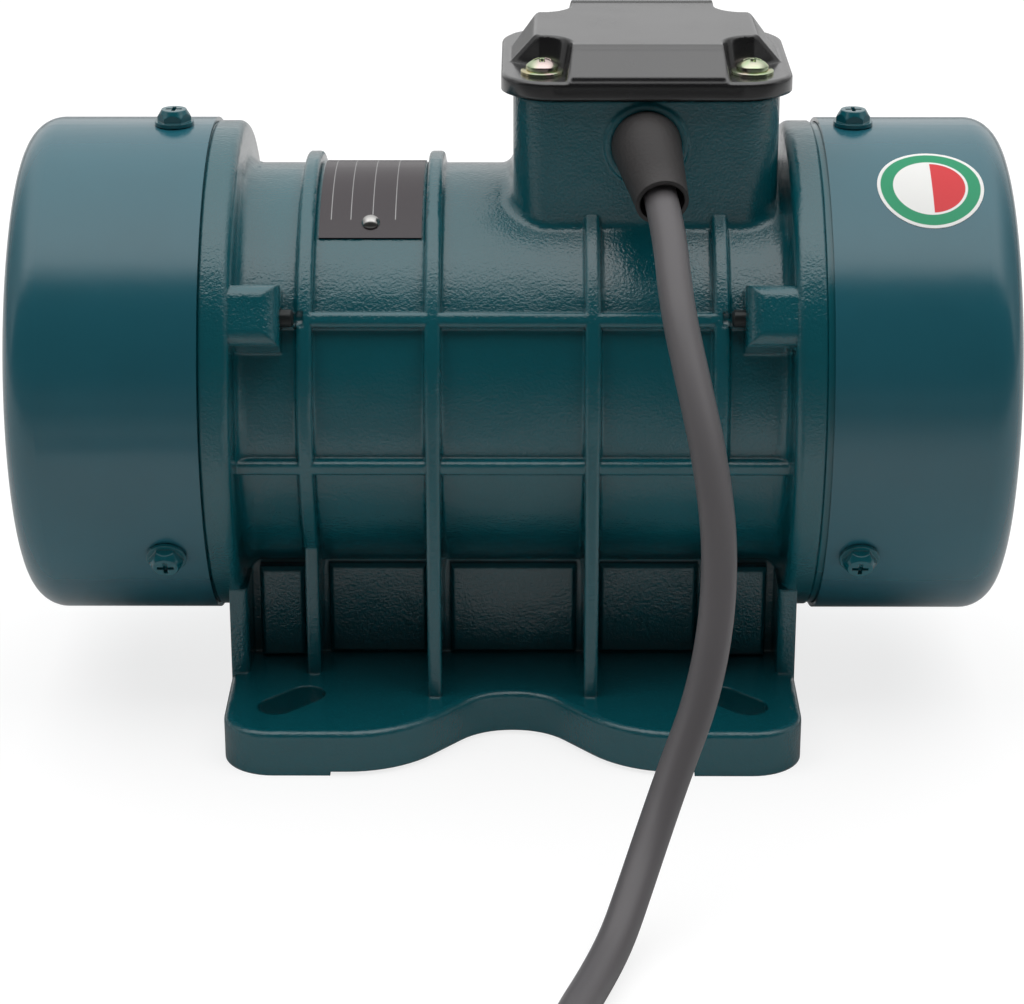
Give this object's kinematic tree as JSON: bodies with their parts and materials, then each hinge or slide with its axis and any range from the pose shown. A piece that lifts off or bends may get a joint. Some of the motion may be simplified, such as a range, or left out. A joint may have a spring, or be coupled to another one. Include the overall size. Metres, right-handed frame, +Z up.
{
  "type": "vibration motor",
  "caption": "Finned cast motor with two cup covers over adjustable eccentric weights, a slotted foot plate, a lidded terminal box and a mains cord.",
  "frame": {"origin": "on the mounting plane of the foot pads, under the middle of the shaft", "axes": "+X along the shaft towards the end with the terminal box, -Y towards the cable entry, +Z up"},
  "size_m": [0.2723, 0.3793, 0.162],
  "materials": {
    "frame_enamel": "sand-cast alloy under thick gloss teal enamel with a light orange-peel texture",
    "cover_enamel": "gloss teal enamel on drawn steel",
    "screw_enamel": "hexagon flange screws sprayed over in the same teal",
    "shield_casting": "cast alloy, teal where it shows",
    "bolt_steel": "bright zinc-plated steel",
    "bearing_steel": "ground and polished bearing steel",
    "pressed_steel": "plain spring and pressed steel",
    "lamination_steel": "stacked electrical steel sheet",
    "winding_copper": "varnished copper winding wire",
    "cage_aluminium": "die-cast aluminium",
    "shaft_steel": "turned steel, lightly oiled",
    "weight_iron": "flame-cut steel plate, dark and matt",
    "lid_plastic": "black moulded plastic, satin",
    "seal_rubber": "black rubber",
    "zinc_plate": "yellow-passivated zinc",
    "terminal_plastic": "off-white polyamide",
    "capacitor_case": "black potted case",
    "lead_sleeve": "red silicone sleeving",
    "cord_rubber": "dark grey flexible rubber sheath",
    "pin_plate": "nickel-plated brass",
    "plate_metal": "black anodised sheet with bare ruled lines",
    "rivet_metal": "bare domed rivets",
    "sticker_film": "printed white vinyl film"
  },
  "bodies": {
    "housing": {"bearing_outer_ring_left": "bearing_steel", "bearing_outer_ring_right": "bearing_steel", "bearing_retaining_ring_left": "pressed_steel", "bearing_retaining_ring_right": "pressed_steel", "box_gasket": "seal_rubber", "box_lid": "lid_plastic", "capacitor": "capacitor_case", "cord": "cord_rubber", "cord_coil": "cord_rubber", "cord_end": "cord_rubber", "cover_screws_left": "screw_enamel", "cover_screws_right": "screw_enamel", "earth_screw": "zinc_plate", "end_cover_left": "cover_enamel", "end_cover_right": "cover_enamel", "end_shield_left": "shield_casting", "end_shield_right": "shield_casting", "frame_housing": "frame_enamel", "lid_screws": "zinc_plate", "lid_washers": "zinc_plate", "plate_rivets": "rivet_metal", "plug_body": "cord_rubber", "plug_pins": "pin_plate", "rating_plate": "plate_metal", "round_sticker": "sticker_film", "shield_bolts_left": "bolt_steel", "shield_bolts_right": "bolt_steel", "stator_core": "lamination_steel", "stator_leads": "lead_sleeve", "stator_windings": "winding_copper", "strain_relief": "seal_rubber", "supply_tail": "cord_rubber", "terminal_block": "terminal_plastic", "terminal_screws": "zinc_plate"},
    "rotor": {"shaft": "shaft_steel", "rotor_core": "lamination_steel", "rotor_cage": "cage_aluminium", "bearing_inner_ring_left": "bearing_steel", "shaft_spacer_left": "shaft_steel", "shaft_snap_ring_left": "pressed_steel", "weight_key_left": "shaft_steel", "inner_weight_left": "weight_iron", "bearing_inner_ring_right": "bearing_steel", "shaft_spacer_right": "shaft_steel", "shaft_snap_ring_right": "pressed_steel", "weight_key_right": "shaft_steel", "inner_weight_right": "weight_iron"},
    "ball_cage_left": {"bearing_balls_left": "bearing_steel", "bearing_cage_left": "pressed_steel"},
    "adjustable_weight_left": {"outer_weight_left": "weight_iron", "clamp_bolt_left": "bolt_steel"},
    "ball_cage_right": {"bearing_balls_right": "bearing_steel", "bearing_cage_right": "pressed_steel"},
    "adjustable_weight_right": {"outer_weight_right": "weight_iron", "clamp_bolt_right": "bolt_steel"}
  },
  "joints": [
    {"name": "rotor_spin", "type": "hinge", "parent": "housing", "child": "rotor", "pos_m": [0, 0, 0.077], "axis": [1, 0, 0], "continuous": true},
    {"name": "ball_cage_left_spin", "type": "hinge", "parent": "housing", "child": "ball_cage_left", "pos_m": [-0.0762, 0, 0.077], "axis": [1, 0, 0], "continuous": true},
    {"name": "ball_cage_right_spin", "type": "hinge", "parent": "housing", "child": "ball_cage_right", "pos_m": [0.0762, 0, 0.077], "axis": [1, 0, 0], "continuous": true},
    {"name": "weight_left_adjust", "type": "hinge", "parent": "rotor", "child": "adjustable_weight_left", "pos_m": [-0.1027, 0, 0.077], "axis": [1, 0, 0], "range_deg": [0, 180]},
    {"name": "weight_right_adjust", "type": "hinge", "parent": "rotor", "child": "adjustable_weight_right", "pos_m": [0.1027, 0, 0.077], "axis": [1, 0, 0], "range_deg": [0, 180]}
  ],
  "couplings": [
    {"joint": "ball_cage_left_spin", "follows": "rotor_spin", "ratio": 0.3636},
    {"joint": "ball_cage_right_spin", "follows": "rotor_spin", "ratio": 0.3636}
  ]
}
